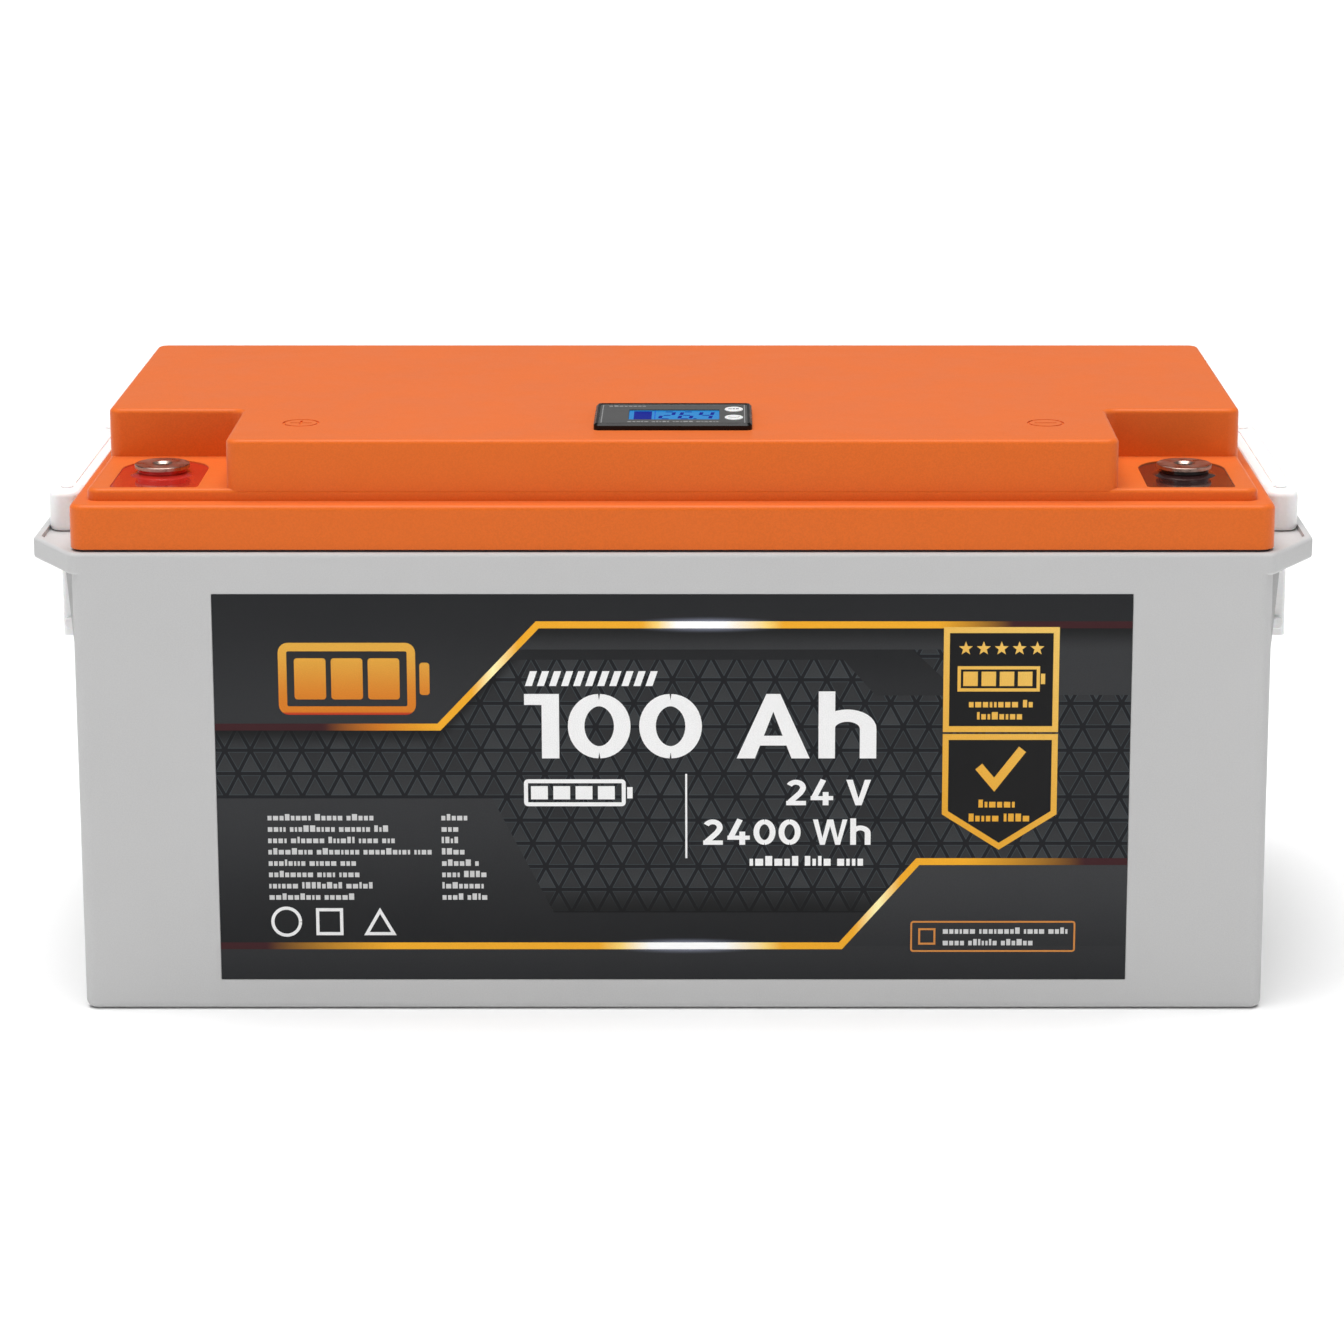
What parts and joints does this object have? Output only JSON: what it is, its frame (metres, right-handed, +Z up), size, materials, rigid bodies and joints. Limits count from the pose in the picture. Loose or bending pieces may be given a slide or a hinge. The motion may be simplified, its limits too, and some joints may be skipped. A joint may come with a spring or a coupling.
{
  "type": "deep cycle battery",
  "caption": "Sealed lithium leisure battery in a moulded case with recessed M8 terminals, pull-up carrying handles and a panel meter on the lid.",
  "frame": {"origin": "centre of the footprint, on the surface the battery stands on", "axes": "+Z up; the labelled front faces -Y; the positive terminal is on the -X side and the length runs along X"},
  "size_m": [0.519, 0.24, 0.2378],
  "materials": {
    "case_grey": "moulded ABS, light grey, fine grain",
    "lid_orange": "moulded ABS, orange, fine grain",
    "seal_dark": "bonded seal",
    "label_print": "printed film, dark graphite with gold lines",
    "handle_white": "natural polypropylene, translucent white",
    "pin_white": "nylon",
    "terminal_bronze": "plated, satin",
    "collar_red": "glossy red",
    "collar_black": "glossy black",
    "potting_red": "cast epoxy, red",
    "potting_dark": "cast epoxy, dark brown",
    "bolt_steel": "zinc plated",
    "bezel_black": "satin black",
    "face_grey": "satin grey film",
    "lcd_blue": "backlit display, blue",
    "board_green": "circuit board",
    "switch_black": "moulded",
    "cable_black": "PVC sheath",
    "button_white": "satin white",
    "cell_blue": "aluminium can in blue film",
    "insulator": "insulating sheet",
    "band_steel": "stainless strap",
    "busbar_metal": "nickel plated",
    "foam_dark": "closed-cell foam",
    "sink_aluminium": "extruded",
    "connector_white": "moulded",
    "lead_red": "silicone cable",
    "lead_black": "silicone cable",
    "sensor_epoxy": "epoxy bead"
  },
  "bodies": {
    "case": {"balance_harness": "lead_black", "base_pad": "foam_dark", "busbar_nuts": "bolt_steel", "busbars": "busbar_metal", "cell_1": "cell_blue", "cell_2": "cell_blue", "cell_3": "cell_blue", "cell_4": "cell_blue", "cell_5": "cell_blue", "cell_6": "cell_blue", "cell_7": "cell_blue", "cell_8": "cell_blue", "cell_spacers": "insulator", "cell_tray": "insulator", "collar_negative": "collar_black", "collar_positive": "collar_red", "compression_bands": "band_steel", "container": "case_grey", "end_pads": "foam_dark", "end_plate_left": "insulator", "end_plate_right": "insulator", "front_label": "label_print", "lid": "lid_orange", "lid_seal": "seal_dark", "lug_bolts": "bolt_steel", "management_board": "board_green", "management_connectors": "connector_white", "management_heat_sink": "sink_aluminium", "management_screws": "bolt_steel", "meter_back_cover": "bezel_black", "meter_bezel": "bezel_black", "meter_board": "board_green", "meter_cable": "cable_black", "meter_faceplate": "face_grey", "meter_lcd": "lcd_blue", "meter_switches": "switch_black", "negative_lead": "lead_black", "pack_negative_lead": "lead_black", "positive_lead": "lead_red", "potting_negative": "potting_dark", "potting_positive": "potting_red", "power_transistors": "switch_black", "side_pads": "foam_dark", "temperature_sensor": "sensor_epoxy", "terminal_negative": "terminal_bronze", "terminal_positive": "terminal_bronze"},
    "left_handle": {"handle_left": "handle_white", "stop_pins_left": "pin_white"},
    "right_handle": {"handle_right": "handle_white", "stop_pins_right": "pin_white"},
    "rear_button": {"meter_button_rear": "button_white"},
    "front_button": {"meter_button_front": "button_white"}
  },
  "joints": [
    {"name": "left_handle_slide", "type": "slide", "parent": "case", "child": "left_handle", "axis": [0, 0, 1], "range_m": [0, 0.03]},
    {"name": "right_handle_slide", "type": "slide", "parent": "case", "child": "right_handle", "axis": [0, 0, 1], "range_m": [0, 0.03]},
    {"name": "rear_button_press", "type": "slide", "parent": "case", "child": "rear_button", "axis": [0, 0, -1], "range_m": [0, 0.0008], "stiffness_N_per_m": 400, "springref_m": -0.001},
    {"name": "front_button_press", "type": "slide", "parent": "case", "child": "front_button", "axis": [0, 0, -1], "range_m": [0, 0.0008], "stiffness_N_per_m": 400, "springref_m": -0.001}
  ]
}
